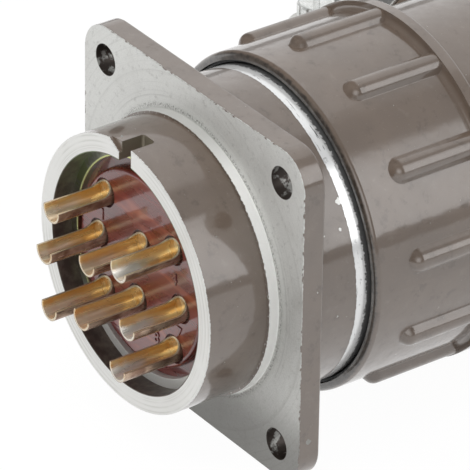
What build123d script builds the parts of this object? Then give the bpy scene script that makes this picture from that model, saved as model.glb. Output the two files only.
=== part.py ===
from build123d import *
import os
from math import cos, radians, sin

os.makedirs("parts", exist_ok=True)

# A square-flange panel receptacle and the angled cable plug that is locked onto it.
# Millimetres, +Z up. +Y runs along the common axis, from the wired rear of the receptacle
# towards the plug. The origin is the centre of the flange's rear (mounting) face.

# Flange
hole_pitch = 40.0
hole_dia = 4.5
flange_margin = 4.9
flange_thick = 3.5
flange_edge_round = 0.4

# Rear barrel of the receptacle
rear_length = 10.8
rear_bore = 33.8
rear_wall = 2.65
land_width = 1.5
land_height = 0.3
slot_width = 2.7
slot_offset = 0.1
slot_depth = 3.9
slot_corner = 0.5
nick_width = 2.8
nick_height = 1.6
nick_depth = 0.5

# Front barrel of the receptacle
front_dia = 44.5
front_reach = 25.0
front_bore = 37.6
front_edge_chamfer = 0.4
web_start = 2.0
web_thick = 3.0
web_bore = 31.0

# Keys of the plug barrel, at angles from +Z towards +X
key_angles = (0, 110, 235)
key_width = 3.2
key_height = 0.9
key_gap = 0.15
key_setback = 2.4
key_length = 12.0
keyway_end_gap = 1.0

# Bayonet: lugs inside the nut ride in helical grooves outside the front barrel
lug_count = 3
lug_dia = 2.6
lug_gap = 0.25
lug_root = 0.4
groove_depth = 1.4
lug_seat = 17.6
ramp_angle = 100.0
ramp_rise = 4.0

# Contacts: their places as (X, Z), and each solder cup's turn and reach past the block's face
contact_spots = (
    (-8.0, 7.9), (-9.4, 1.0), (0.4, 3.9), (7.7, 6.6),
    (-7.7, -6.8), (-0.4, -4.7), (9.4, -1.5), (8.0, -8.4),
)
pin_cup_turns = (87, 91, 83, 78, 83, 75, 82, 85)
pin_cup_reaches = (8.7, 8.9, 8.8, 8.8, 9.3, 9.1, 8.6, 9.1)
socket_cup_turn = 90
socket_cup_reach = 9.0
contact_dia = 3.6
pin_dia = 2.4
pin_length = 11.0
pin_tip_round = 0.9
cup_bore = 3.0
cup_floor = 0.35
cup_sink = 0.25
cup_web = 0.1
cup_runout = 1.9
shoulder_dia = 4.4
shoulder_length = 2.0
contact_gap = 0.05

# Contact block of the receptacle
block_gap = 0.1
plateau_face = -8.3
plateau_dia = 28.0
plateau_step = 1.6
plateau_round = 0.6
block_joint = -1.0
nose_reach = 9.0
nose_gap = 0.2
well_dia = 4.2
well_depth = 0.5
face_seal_thick = 1.2

# Snap rings of the two contact blocks
snap_thick = 1.0
snap_groove = 0.7
snap_lip = 1.4
snap_turn = 10.0
snap_opening = 11.0

# Plug shell
barrel_gap = 0.15
barrel_end_gap = 0.6
plug_wall = 1.65
face_gap = 0.1
lip_thick = 2.0
lip_height = 0.7
gasket_thick = 1.0
gasket_edge_gap = 0.3
seat_gap = 0.1
plug_shoulder_thick = 2.5
shoulder_height = 2.05
thread_step = 1.2
thread_length = 7.0
thread_gap = 0.1

# Socket block
socket_joint = 20.3
socket_back = 30.3
socket_dia = 3.8
socket_recess = 0.7
socket_entry = 2.9
socket_slit = 0.4
socket_slit_length = 5.0
pin_slide_gap = 0.05
socket_over_depth = 0.8

# Coupling nut
nut_front = 13.0
nut_skirt = 1.9
nut_dia = 48.0
nut_gap = 0.35
nut_lip_round = 0.8
nut_flange_thick = 2.6
journal_gap = 0.08
washer_thick = 0.6
nut_side_gap = 0.1
keeper_thick = 1.3
keeper_groove = 1.0
keeper_edge_gap = 0.4
keeper_opening = 6.0
collar_height = 1.45
collar_length = 1.9
collar_round = 0.5
collar_blend = 0.8
rib_count = 12
rib_turn = 21.9
rib_width = 4.4
rib_foot_width = 3.7
rib_top_width = 2.0
rib_height = 1.3
rib_front = 18.0
rib_round = 1.6
rib_foot_round = 0.3
rib_root = 0.6
rib_sink = 0.12
wiper_thick = 1.6
wiper_height = 0.2
wiper_gap = 0.15
wiper_inset = 0.5

# Angled backshell
shell_overhang = 0.25
shell_wall = 2.6
shell_front_gap = 0.4
shell_front_round = 0.5
shell_end_round = 8.0
shell_end_margin = 0.8
outlet_station = 61.0
outlet_dia = 25.0
outlet_bore = 17.5
outlet_reach = 25.5
outlet_blend = 1.5
outlet_thread_dia = 21.5
outlet_thread_length = 3.6

# Cable clamp
clamp_dia = 26.0
clamp_skin = 1.5
clamp_flute_count = 24
clamp_flute_dia = 2.0
clamp_flute_depth = 0.6
clamp_round = 0.5
cable_dia = 11.0
bushing_wall = 2.8
bushing_gap = 0.1
bushing_collar = 1.0
bushing_collar_step = 0.5
bushing_collar_gap = 0.2
bushing_tail = 1.2
saddle_wall = 1.5
saddle_length = 9.0
saddle_split = 1.6
ear_thick = 3.0
ear_inset = 0.5
screw_inset = 3.3
screw_dia = 3.0
screw_head_dia = 5.6
screw_head_height = 2.6
screw_head_round = 0.4
screw_flute_count = 12
screw_flute_dia = 0.9
screw_flute_depth = 0.25
screw_slot = 0.9
screw_slot_depth = 0.9
screw_slot_turns = (144, 110)
screw_tail = 0.8
screw_hole_gap = 0.15
spring_washer_dia = 5.2
spring_washer_thick = 0.8
spring_washer_split = 0.5

# Sizes worked out from the ones above
flange_side = hole_pitch + 2 * flange_margin
rear_dia = rear_bore + 2 * rear_wall
web_end = web_start + web_thick
groove_width = lug_dia + 2 * lug_gap
groove_floor = front_dia / 2 - groove_depth
lug_tip = groove_floor + lug_gap
lug_spacing = 360 / lug_count

block_dia = rear_bore - 2 * block_gap
nose_dia = web_bore - 2 * nose_gap
rim_face = plateau_face + plateau_step
pin_shoulder = block_joint - shoulder_length
pin_tip = nose_reach + pin_length
cup_root = plateau_face + cup_sink
face_seal_front = nose_reach + face_seal_thick

plug_dia = front_bore - 2 * barrel_gap
plug_bore = plug_dia - 2 * plug_wall
plug_front = web_end + barrel_end_gap
key_tip = plug_dia / 2 + key_height
key_front = plug_front + key_setback
socket_face = face_seal_front + face_gap
lip_end = socket_face + lip_thick
lip_bore = plug_bore - 2 * lip_height
socket_block_dia = plug_bore - 2 * block_gap
socket_tube_front = socket_face + socket_recess
socket_shoulder_back = socket_joint + shoulder_length
socket_cup_root = socket_back - cup_sink
socket_cup_tip = socket_back + socket_cup_reach
gasket_front = front_reach + seat_gap
shoulder_front = gasket_front + gasket_thick
shoulder_back = shoulder_front + plug_shoulder_thick

nut_bore = front_dia + 2 * nut_gap
plug_shoulder_dia = nut_bore - 2 * nut_gap
hub_dia = plug_shoulder_dia - 2 * shoulder_height
thread_dia = hub_dia - 2 * thread_step
shell_dia = plug_shoulder_dia + 2 * shell_overhang
nut_flange_front = shoulder_back + washer_thick + nut_side_gap
nut_flange_back = nut_flange_front + nut_flange_thick
wiper_pocket_back = nut_front + wiper_inset + wiper_thick
wiper_pocket_dia = nut_bore + 2 * wiper_height
keeper_front = nut_flange_back + nut_side_gap
keeper_back = keeper_front + keeper_thick
keeper_bore = hub_dia - 2 * keeper_groove
keeper_dia = nut_bore - 2 * keeper_edge_gap
nut_back = keeper_back + nut_skirt
collar_front = nut_back - collar_length
collar_dia = nut_dia + 2 * collar_height
hub_back = nut_back + shell_front_gap
thread_back = hub_back + thread_length

shell_end = outlet_station + outlet_dia / 2 + outlet_blend + shell_end_margin + shell_end_round
outlet_end = outlet_reach + outlet_thread_length
clamp_start = outlet_reach + seat_gap
bushing_start = outlet_end + bushing_collar_gap
clamp_lid_inner = bushing_start + bushing_collar + bushing_collar_gap
clamp_lid_outer = clamp_lid_inner + clamp_skin
bushing_dia = cable_dia + 2 * bushing_wall
bushing_collar_dia = outlet_thread_dia - 2 * bushing_collar_step
saddle_bore = bushing_dia + 2 * bushing_gap
saddle_dia = saddle_bore + 2 * saddle_wall
saddle_end = clamp_lid_outer + saddle_length
bushing_end = saddle_end + bushing_tail
screw_reach = clamp_lid_outer + saddle_length / 2
screw_pitch = saddle_dia + 2 * screw_inset
ear_width = saddle_length - 2 * ear_inset
ear_top = saddle_split / 2 + ear_thick
washer_top = ear_top + spring_washer_thick
screw_top = washer_top + screw_head_height
screw_stations = (outlet_station - screw_pitch / 2, outlet_station + screw_pitch / 2)


def station(y):
    """The plane across the connector's axis at y: its X and Y are the frame's X and Z."""
    return Plane.XZ.offset(-y)


def outlet_plane(reach):
    """The plane across the cable outlet, reach from the connector's axis towards -X."""
    return Plane((-reach, outlet_station, 0), x_dir=(0, -1, 0), z_dir=(-1, 0, 0))


def across(angle):
    """A unit direction across the connector's axis, angle degrees from +Z towards +X."""
    return Vector(sin(radians(angle)), 0, cos(radians(angle)))


def side_plane(angle, reach, y=0.0):
    """A plane that faces outwards at angle, reach from the axis: its X runs along the axis."""
    return Plane(across(angle) * reach + Vector(0, y, 0), x_dir=(0, 1, 0), z_dir=across(angle))


def contact_plane(x, z):
    """The plane in which one contact's half section is drawn."""
    return Plane((x, 0, z), x_dir=(1, 0, 0), z_dir=(0, 0, 1))


def cup_plane(x, z, turn, inwards):
    """A plane through a contact's axis: X points out of the open cup, Y along inwards."""
    out = Vector(cos(radians(turn)), 0, sin(radians(turn)))
    return Plane((x, 0, z), x_dir=out, z_dir=out.cross(Vector(0, inwards, 0)))


def level(z):
    """The horizontal plane at z."""
    return Plane.XY.offset(z)


def screw_plane(y):
    """The plane in which one clamp screw's half section is drawn."""
    return Plane((-screw_reach, y, 0), x_dir=(1, 0, 0), z_dir=(0, -1, 0))


def band(inner, outer, low, high):
    """Half of a ring's section: its radii across the sketch, its place along the axis up it."""
    with Locations(((inner + outer) / 2, (low + high) / 2)):
        Rectangle(outer - inner, high - low)


def cup_opening(tip, root):
    """The cut that opens a solder cup from its tip, with a round run-out at its root."""
    runout = root - cup_runout
    with Locations((cup_floor + contact_dia / 2, (tip - cup_runout + runout) / 2)):
        Rectangle(contact_dia, runout - tip + cup_runout)
    with Locations((cup_floor + cup_runout, runout)):
        Circle(cup_runout)


def write(part, name):
    part.label = name
    export_step(part, f"parts/{name}.step")


# Cutter of one bayonet groove: a helical ramp, and an entry that runs out at the front edge
ramp_pitch = ramp_rise * 360 / ramp_angle
cutter_depth = groove_depth + 1.0
entry_length = front_reach + 1.0 - lug_seat - ramp_rise
with BuildPart() as groove_cutter:
    with BuildLine() as ramp:
        Helix(ramp_pitch, ramp_rise, groove_floor + cutter_depth / 2, (0, lug_seat, 0), (0, 1, 0))
    with BuildSketch(Plane(ramp.line @ 0, x_dir=across(0), z_dir=ramp.line % 0)):
        Rectangle(cutter_depth, groove_width)
    sweep(is_frenet=True)
    with BuildSketch(side_plane(0, groove_floor, lug_seat)):
        Circle(groove_width / 2)
    extrude(amount=cutter_depth)
    with BuildSketch(side_plane(ramp_angle, groove_floor, lug_seat + ramp_rise)):
        Circle(groove_width / 2)
        with Locations((entry_length / 2, 0)):
            Rectangle(entry_length, groove_width)
    extrude(amount=cutter_depth)

# Receptacle shell: flange, rear barrel and front barrel are one casting
with BuildPart() as receptacle_shell:
    with BuildSketch(station(0)):
        RectangleRounded(flange_side, flange_side, flange_margin)
    extrude(amount=-flange_thick)
    fillet(receptacle_shell.faces().sort_by(Axis.Y)[-1].edges(), flange_edge_round)
    with BuildSketch(station(0)):
        with GridLocations(hole_pitch, hole_pitch, 2, 2):
            Circle(hole_dia / 2)
    extrude(amount=-flange_thick, mode=Mode.SUBTRACT)
    with BuildSketch(Plane.XY):
        band(0, rear_dia / 2, -rear_length, 0)
        band(0, rear_dia / 2 + land_height, -land_width, 0)
        band(0, front_dia / 2, 0, front_reach)
    revolve(axis=Axis.Y)
    with BuildSketch(Plane.XY):
        band(0, rear_bore / 2, -rear_length, web_start)
        band(0, rear_bore / 2 + snap_groove, rim_face - snap_thick, rim_face)
        band(0, web_bore / 2, web_start, web_end)
        band(0, front_bore / 2, web_end, front_reach)
    revolve(axis=Axis.Y, mode=Mode.SUBTRACT)
    chamfer(receptacle_shell.edges().group_by(Axis.Y)[-1], front_edge_chamfer)
    keyway_length = front_reach - key_front + keyway_end_gap
    for angle in key_angles:
        with BuildSketch(side_plane(angle, web_bore / 2, front_reach - keyway_length / 2)):
            Rectangle(keyway_length, key_width + 2 * key_gap)
        extrude(amount=key_tip + key_gap - web_bore / 2, mode=Mode.SUBTRACT)
    for index in range(lug_count):
        add(groove_cutter.part.rotate(Axis.Y, index * lug_spacing), mode=Mode.SUBTRACT)
    with BuildSketch(side_plane(0, web_bore / 2, -rear_length)):
        with Locations((0, -slot_offset)):
            RectangleRounded(2 * slot_depth, slot_width, slot_corner)
    extrude(amount=rear_dia / 2 - web_bore / 2 + land_height, mode=Mode.SUBTRACT)
    with BuildSketch(station(-rear_length)):
        with BuildLine():
            nick_side = (slot_offset - slot_width / 2 - nick_width, rear_dia / 2)
            nick_fall = nick_height / nick_width * (slot_width / 2 + nick_width)
            nick_foot = (slot_offset, rear_dia / 2 - nick_fall)
            Polyline(nick_side, (slot_offset, rear_dia / 2), nick_foot, nick_side)
        make_face()
    extrude(amount=-nick_depth, mode=Mode.SUBTRACT)
write(receptacle_shell.part, "receptacle_shell")

# Contact block of the receptacle: two moulded halves that trap the contacts' shoulders
with BuildPart() as rear_insulator:
    with BuildSketch(Plane.XY):
        band(0, plateau_dia / 2, plateau_face, rim_face)
        band(0, block_dia / 2, rim_face, block_joint)
    revolve(axis=Axis.Y)
    fillet(rear_insulator.edges().group_by(Axis.Y)[0], plateau_round)
    with BuildSketch(station(plateau_face)):
        with Locations(*contact_spots):
            Circle(contact_dia / 2 + contact_gap)
    extrude(amount=plateau_face - block_joint, mode=Mode.SUBTRACT)
    with BuildSketch(station(plateau_face)):
        with Locations(*contact_spots):
            Circle(well_dia / 2)
    extrude(amount=-well_depth, mode=Mode.SUBTRACT)
    with BuildSketch(station(block_joint)):
        with Locations(*contact_spots):
            Circle(shoulder_dia / 2 + contact_gap)
    extrude(amount=shoulder_length, mode=Mode.SUBTRACT)
write(rear_insulator.part, "rear_insulator")

with BuildPart() as front_insulator:
    with BuildSketch(Plane.XY):
        band(0, block_dia / 2, block_joint, web_start)
        band(0, nose_dia / 2, web_start, nose_reach)
    revolve(axis=Axis.Y)
    with BuildSketch(station(block_joint)):
        with Locations(*contact_spots):
            Circle(contact_dia / 2 + contact_gap)
    extrude(amount=block_joint - nose_reach, mode=Mode.SUBTRACT)
write(front_insulator.part, "front_insulator")

with BuildPart() as pin_face_seal:
    with BuildSketch(station(nose_reach)):
        Circle(nose_dia / 2)
        with Locations(*contact_spots):
            Circle(pin_dia / 2 + contact_gap, mode=Mode.SUBTRACT)
    extrude(amount=-face_seal_thick)
write(pin_face_seal.part, "pin_face_seal")

with BuildPart() as block_snap_ring:
    with BuildSketch(Plane.XY):
        snap_inner = rear_bore / 2 - snap_lip
        snap_outer = rear_bore / 2 + snap_groove - contact_gap
        band(snap_inner, snap_outer, rim_face - snap_thick, rim_face)
    revolve(axis=Axis.Y)
    with BuildSketch(side_plane(snap_turn, 0, rim_face - snap_thick / 2)):
        Rectangle(2 * snap_thick, snap_opening)
    extrude(amount=rear_dia / 2, mode=Mode.SUBTRACT)
write(block_snap_ring.part, "block_snap_ring")

# Pin contacts: solder cup, shoulder and pin are turned from one rod
for number, (x, z) in enumerate(contact_spots, start=1):
    cup_tip = plateau_face - pin_cup_reaches[number - 1]
    with BuildPart() as pin_contact:
        with BuildSketch(contact_plane(x, z)):
            band(0, contact_dia / 2, cup_tip, nose_reach)
            band(0, shoulder_dia / 2, pin_shoulder, block_joint)
            band(0, pin_dia / 2, nose_reach, pin_tip)
        revolve(axis=Axis((x, 0, z), (0, 1, 0)))
        fillet(pin_contact.edges().group_by(Axis.Y)[-1], pin_tip_round)
        with BuildSketch(contact_plane(x, z)):
            band(0, cup_bore / 2, cup_tip, cup_root - cup_web)
        revolve(axis=Axis((x, 0, z), (0, 1, 0)), mode=Mode.SUBTRACT)
        with BuildSketch(cup_plane(x, z, pin_cup_turns[number - 1], 1)):
            cup_opening(cup_tip, cup_root)
        extrude(amount=contact_dia, both=True, mode=Mode.SUBTRACT)
    write(pin_contact.part, f"pin_contact_{number}")

# Plug shell: keyed barrel, shoulder, hub for the nut and thread for the backshell
with BuildPart() as plug_shell:
    with BuildSketch(Plane.XY):
        band(0, plug_dia / 2, plug_front, shoulder_front)
        band(0, plug_shoulder_dia / 2, shoulder_front, shoulder_back)
        band(0, hub_dia / 2, shoulder_back, hub_back)
        band(0, thread_dia / 2, hub_back, thread_back)
    revolve(axis=Axis.Y)
    for angle in key_angles:
        with BuildSketch(side_plane(angle, plug_bore / 2, key_front + key_length / 2)):
            Rectangle(key_length, key_width)
        extrude(amount=key_tip - plug_bore / 2)
    with BuildSketch(Plane.XY):
        band(0, plug_bore / 2, plug_front, socket_face)
        band(0, lip_bore / 2, socket_face, lip_end)
        band(0, plug_bore / 2, lip_end, thread_back)
        band(0, plug_bore / 2 + snap_groove, socket_back, socket_back + snap_thick)
        band(keeper_bore / 2, hub_dia / 2, keeper_front, keeper_back)
    revolve(axis=Axis.Y, mode=Mode.SUBTRACT)
write(plug_shell.part, "plug_shell")

with BuildPart() as shell_gasket:
    with BuildSketch(Plane.XY):
        gasket_outer = plug_shoulder_dia / 2 - gasket_edge_gap
        band(plug_dia / 2 + contact_gap, gasket_outer, gasket_front, shoulder_front)
    revolve(axis=Axis.Y)
write(shell_gasket.part, "shell_gasket")

# Socket block of the plug
with BuildPart() as socket_front_insulator:
    with BuildSketch(Plane.XY):
        band(0, lip_bore / 2 - block_gap, socket_face, lip_end)
        band(0, socket_block_dia / 2, lip_end, socket_joint)
    revolve(axis=Axis.Y)
    with BuildSketch(station(socket_face)):
        with Locations(*contact_spots):
            Circle(socket_entry / 2)
    extrude(amount=socket_face - socket_joint, mode=Mode.SUBTRACT)
    with BuildSketch(station(socket_tube_front)):
        with Locations(*contact_spots):
            Circle(socket_dia / 2 + contact_gap)
    extrude(amount=socket_tube_front - socket_joint, mode=Mode.SUBTRACT)
write(socket_front_insulator.part, "socket_front_insulator")

with BuildPart() as socket_rear_insulator:
    with BuildSketch(Plane.XY):
        band(0, socket_block_dia / 2, socket_joint, socket_back)
    revolve(axis=Axis.Y)
    with BuildSketch(station(socket_joint)):
        with Locations(*contact_spots):
            Circle(contact_dia / 2 + contact_gap)
    extrude(amount=socket_joint - socket_back, mode=Mode.SUBTRACT)
    with BuildSketch(station(socket_joint)):
        with Locations(*contact_spots):
            Circle(shoulder_dia / 2 + contact_gap)
    extrude(amount=-shoulder_length, mode=Mode.SUBTRACT)
    with BuildSketch(station(socket_back)):
        with Locations(*contact_spots):
            Circle(well_dia / 2)
    extrude(amount=well_depth, mode=Mode.SUBTRACT)
write(socket_rear_insulator.part, "socket_rear_insulator")

with BuildPart() as plug_snap_ring:
    with BuildSketch(Plane.XY):
        snap_inner = plug_bore / 2 - snap_lip
        snap_outer = plug_bore / 2 + snap_groove - contact_gap
        band(snap_inner, snap_outer, socket_back, socket_back + snap_thick)
    revolve(axis=Axis.Y)
    with BuildSketch(side_plane(snap_turn, 0, socket_back + snap_thick / 2)):
        Rectangle(2 * snap_thick, snap_opening)
    extrude(amount=hub_dia / 2, mode=Mode.SUBTRACT)
write(plug_snap_ring.part, "plug_snap_ring")

# Socket contacts: slit tube, shoulder and solder cup
for number, (x, z) in enumerate(contact_spots, start=1):
    with BuildPart() as socket_contact:
        with BuildSketch(contact_plane(x, z)):
            band(0, socket_dia / 2, socket_tube_front, socket_joint)
            band(0, shoulder_dia / 2, socket_joint, socket_shoulder_back)
            band(0, contact_dia / 2, socket_shoulder_back, socket_cup_tip)
        revolve(axis=Axis((x, 0, z), (0, 1, 0)))
        with BuildSketch(contact_plane(x, z)):
            band(0, pin_dia / 2 + pin_slide_gap, socket_tube_front, pin_tip + socket_over_depth)
            band(0, cup_bore / 2, socket_cup_root + cup_web, socket_cup_tip)
        revolve(axis=Axis((x, 0, z), (0, 1, 0)), mode=Mode.SUBTRACT)
        with BuildSketch(cup_plane(x, z, socket_cup_turn, -1)):
            cup_opening(-socket_cup_tip, -socket_cup_root)
        extrude(amount=contact_dia, both=True, mode=Mode.SUBTRACT)
        with BuildSketch(contact_plane(x, z)):
            slit_end = socket_tube_front + socket_slit_length
            band(-socket_slit / 2, socket_slit / 2, socket_tube_front, slit_end)
        extrude(amount=socket_dia, both=True, mode=Mode.SUBTRACT)
    write(socket_contact.part, f"socket_contact_{number}")

# Parts that hold the coupling nut on the plug: the wave washer is pressed flat when locked
with BuildPart() as wave_washer:
    with BuildSketch(Plane.XY):
        band(hub_dia / 2 + contact_gap, plug_shoulder_dia / 2, shoulder_back, shoulder_back + washer_thick)
    revolve(axis=Axis.Y)
write(wave_washer.part, "wave_washer")

with BuildPart() as nut_keeper_ring:
    with BuildSketch(Plane.XY):
        band(keeper_bore / 2 + contact_gap, keeper_dia / 2, keeper_front, keeper_back)
    revolve(axis=Axis.Y)
    with BuildSketch(side_plane(snap_turn, 0, (keeper_front + keeper_back) / 2)):
        Rectangle(2 * keeper_thick, keeper_opening)
    extrude(amount=nut_dia / 2, mode=Mode.SUBTRACT)
write(nut_keeper_ring.part, "nut_keeper_ring")

# One grip rib of the coupling nut: a rounded ridge with flared feet and a ball-shaped tip
rib_tip = rib_front + rib_width / 2
rib_crest = nut_dia / 2 + rib_height
rib_foot = nut_dia / 2 - rib_sink
rib_half = (
    (rib_top_width / 2, rib_crest), (rib_foot_width / 2, rib_foot),
    (rib_width / 2, rib_foot), (rib_width / 2, rib_foot - rib_root),
)
with BuildSketch() as rib_profile:
    Polygon(*rib_half, *((-x, z) for x, z in reversed(rib_half)), align=None)
    fillet(rib_profile.vertices().group_by(Axis.Y)[-1], rib_round)
    feet = rib_profile.vertices().group_by(Axis.Y)[1]
    fillet(feet.sort_by(lambda corner: abs(corner.X))[:2], rib_foot_round)

with BuildPart() as grip_rib:
    with BuildSketch(station(rib_tip)):
        add(rib_profile.sketch_local)
    extrude(amount=rib_tip - collar_front - collar_length / 2)
    with BuildSketch(station(rib_tip)):
        add(rib_profile.sketch_local)
        with Locations((rib_width / 2, nut_dia / 2)):
            Rectangle(rib_width, nut_dia / 2, mode=Mode.INTERSECT)
    revolve(axis=Axis((0, rib_tip, 0), (0, 0, -1)), revolution_arc=180)

# Coupling nut with its ribs, its rear collar and the three lugs inside
with BuildPart() as coupling_nut:
    with BuildSketch(Plane.XY):
        band(0, nut_dia / 2, nut_front, nut_back)
        band(0, collar_dia / 2, collar_front, nut_back)
    revolve(axis=Axis.Y)
    rings = coupling_nut.edges().filter_by(GeomType.CIRCLE)
    fillet(rings.group_by(SortBy.RADIUS)[0].sort_by(Axis.Y)[-1], collar_blend)
    fillet(coupling_nut.edges().group_by(Axis.Y)[0], nut_lip_round)
    fillet(coupling_nut.edges().group_by(Axis.Y)[-1], collar_round)
    for index in range(rib_count):
        add(grip_rib.part.rotate(Axis.Y, rib_turn + index * 360 / rib_count))
    with BuildSketch(Plane.XY):
        band(0, wiper_pocket_dia / 2, nut_front, wiper_pocket_back)
        band(0, nut_bore / 2, wiper_pocket_back, nut_flange_front)
        band(0, hub_dia / 2 + journal_gap, nut_flange_front, nut_flange_back)
        band(0, nut_bore / 2, nut_flange_back, nut_back)
    revolve(axis=Axis.Y, mode=Mode.SUBTRACT)
    for index in range(lug_count):
        with BuildSketch(side_plane(index * lug_spacing, lug_tip, lug_seat)):
            Circle(lug_dia / 2)
        extrude(amount=nut_bore / 2 + lug_root - lug_tip)
write(coupling_nut.part, "coupling_nut")

with BuildPart() as nut_wiper:
    with BuildSketch(Plane.XY):
        wiper_outer = wiper_pocket_dia / 2 - contact_gap
        band(front_dia / 2 + wiper_gap, wiper_outer, nut_front + wiper_inset, wiper_pocket_back)
    revolve(axis=Axis.Y)
write(nut_wiper.part, "nut_wiper")

# Angled backshell: the hollow inside, then the shell with its side outlet
with BuildPart() as shell_core:
    with BuildSketch(Plane.XY):
        band(0, shell_dia / 2 - shell_wall, thread_back, shell_end - shell_wall)
    revolve(axis=Axis.Y)
    fillet(shell_core.edges().group_by(Axis.Y)[-1], shell_end_round - shell_wall)

with BuildPart() as elbow_backshell:
    with BuildSketch(Plane.XY):
        band(0, shell_dia / 2, hub_back, shell_end)
    revolve(axis=Axis.Y)
    fillet(elbow_backshell.edges().group_by(Axis.Y)[0], shell_front_round)
    fillet(elbow_backshell.edges().group_by(Axis.Y)[-1], shell_end_round)
    with BuildSketch(outlet_plane(0)):
        Circle(outlet_dia / 2)
    extrude(amount=outlet_reach)
    junction = elbow_backshell.edges().filter_by(lambda edge: edge.geom_type != GeomType.CIRCLE)
    fillet(junction.filter_by_position(Axis.X, -outlet_reach, -outlet_dia / 2), outlet_blend)
    with BuildSketch(outlet_plane(0)):
        Circle(outlet_thread_dia / 2)
    extrude(amount=outlet_end)
    with BuildSketch(Plane.XY):
        band(0, thread_dia / 2 + thread_gap, hub_back, thread_back)
    revolve(axis=Axis.Y, mode=Mode.SUBTRACT)
    add(shell_core.part, mode=Mode.SUBTRACT)
    with BuildSketch(outlet_plane(0)):
        Circle(outlet_bore / 2)
    extrude(amount=outlet_end, mode=Mode.SUBTRACT)
write(elbow_backshell.part, "elbow_backshell")

# Cable clamp: a fluted ring with the lower half of the saddle, and the loose upper half
with BuildPart() as clamp_body:
    with BuildSketch(outlet_plane(clamp_start)):
        Circle(clamp_dia / 2)
    extrude(amount=clamp_lid_outer - clamp_start)
    fillet(clamp_body.edges(), clamp_round)
    with BuildSketch(outlet_plane(clamp_start)):
        with PolarLocations(clamp_dia / 2 + clamp_flute_dia / 2 - clamp_flute_depth, clamp_flute_count):
            Circle(clamp_flute_dia / 2)
    extrude(amount=clamp_lid_outer - clamp_start, mode=Mode.SUBTRACT)
    with BuildSketch(outlet_plane(clamp_lid_outer)):
        Circle(saddle_dia / 2)
    extrude(amount=saddle_length)
    with BuildSketch(level(-ear_top)):
        with Locations((-screw_reach, outlet_station)):
            SlotCenterToCenter(screw_pitch, ear_width, rotation=90)
    extrude(amount=ear_thick)
    with BuildSketch(level(-saddle_split / 2)):
        with Locations((-clamp_lid_outer - clamp_dia / 2, outlet_station)):
            Rectangle(clamp_dia, 2 * clamp_dia)
    extrude(amount=clamp_dia, mode=Mode.SUBTRACT)
    with BuildSketch(outlet_plane(clamp_start)):
        Circle(outlet_thread_dia / 2 + thread_gap)
    extrude(amount=clamp_lid_inner - clamp_start, mode=Mode.SUBTRACT)
    with BuildSketch(outlet_plane(clamp_start)):
        Circle(saddle_bore / 2)
    extrude(amount=saddle_end - clamp_start, mode=Mode.SUBTRACT)
    with BuildSketch(level(-ear_top)):
        with Locations(*((-screw_reach, y) for y in screw_stations)):
            Circle(screw_dia / 2 + contact_gap)
    extrude(amount=ear_thick, mode=Mode.SUBTRACT)
write(clamp_body.part, "clamp_body")

with BuildPart() as clamp_saddle:
    with BuildSketch(outlet_plane(clamp_lid_outer + seat_gap)):
        Circle(saddle_dia / 2)
    extrude(amount=saddle_length - seat_gap)
    with BuildSketch(level(saddle_split / 2)):
        with Locations((-screw_reach, outlet_station)):
            SlotCenterToCenter(screw_pitch, ear_width, rotation=90)
    extrude(amount=ear_thick)
    with BuildSketch(level(saddle_split / 2)):
        with Locations((-clamp_lid_outer - clamp_dia / 2, outlet_station)):
            Rectangle(clamp_dia, 2 * clamp_dia)
    extrude(amount=-clamp_dia, mode=Mode.SUBTRACT)
    with BuildSketch(outlet_plane(clamp_lid_outer)):
        Circle(saddle_bore / 2)
    extrude(amount=saddle_length, mode=Mode.SUBTRACT)
    with BuildSketch(level(saddle_split / 2)):
        with Locations(*((-screw_reach, y) for y in screw_stations)):
            Circle(screw_dia / 2 + screw_hole_gap)
    extrude(amount=ear_thick, mode=Mode.SUBTRACT)
write(clamp_saddle.part, "clamp_saddle")

# Clamp screws and the split washers under their heads
for number, y in enumerate(screw_stations, start=1):
    screw_axis = Axis((-screw_reach, y, 0), (0, 0, 1))
    with BuildPart() as clamp_screw:
        with BuildSketch(screw_plane(y)):
            band(0, screw_head_dia / 2, washer_top, screw_top)
            band(0, screw_dia / 2, -ear_top - screw_tail, washer_top)
        revolve(axis=screw_axis)
        fillet(clamp_screw.edges().group_by(Axis.Z)[-1], screw_head_round)
        flute_reach = screw_head_dia / 2 + screw_flute_dia / 2 - screw_flute_depth
        with BuildSketch(level(washer_top)):
            with Locations((-screw_reach, y)):
                with PolarLocations(flute_reach, screw_flute_count):
                    Circle(screw_flute_dia / 2)
        extrude(amount=screw_head_height, mode=Mode.SUBTRACT)
        with BuildSketch(level(screw_top)):
            with Locations((-screw_reach, y)):
                Rectangle(2 * screw_head_dia, screw_slot, rotation=screw_slot_turns[number - 1])
        extrude(amount=-screw_slot_depth, mode=Mode.SUBTRACT)
    write(clamp_screw.part, f"clamp_screw_{number}")
    with BuildPart() as spring_washer:
        with BuildSketch(screw_plane(y)):
            band(screw_dia / 2 + screw_hole_gap, spring_washer_dia / 2, ear_top, washer_top)
        revolve(axis=screw_axis)
        with BuildSketch(level(ear_top)):
            with Locations((-screw_reach, y - spring_washer_dia / 2)):
                Rectangle(spring_washer_split, spring_washer_dia)
        extrude(amount=spring_washer_thick, mode=Mode.SUBTRACT)
    write(spring_washer.part, f"spring_washer_{number}")

with BuildPart() as cable_bushing:
    with BuildSketch(outlet_plane(bushing_start)):
        Circle(bushing_collar_dia / 2)
    extrude(amount=bushing_collar)
    with BuildSketch(outlet_plane(bushing_start)):
        Circle(bushing_dia / 2)
    extrude(amount=bushing_end - bushing_start)
    with BuildSketch(outlet_plane(bushing_start)):
        Circle(cable_dia / 2)
    extrude(amount=bushing_end - bushing_start, mode=Mode.SUBTRACT)
write(cable_bushing.part, "cable_bushing")
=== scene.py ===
import math

import bpy
from mathutils import Matrix, Vector


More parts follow.
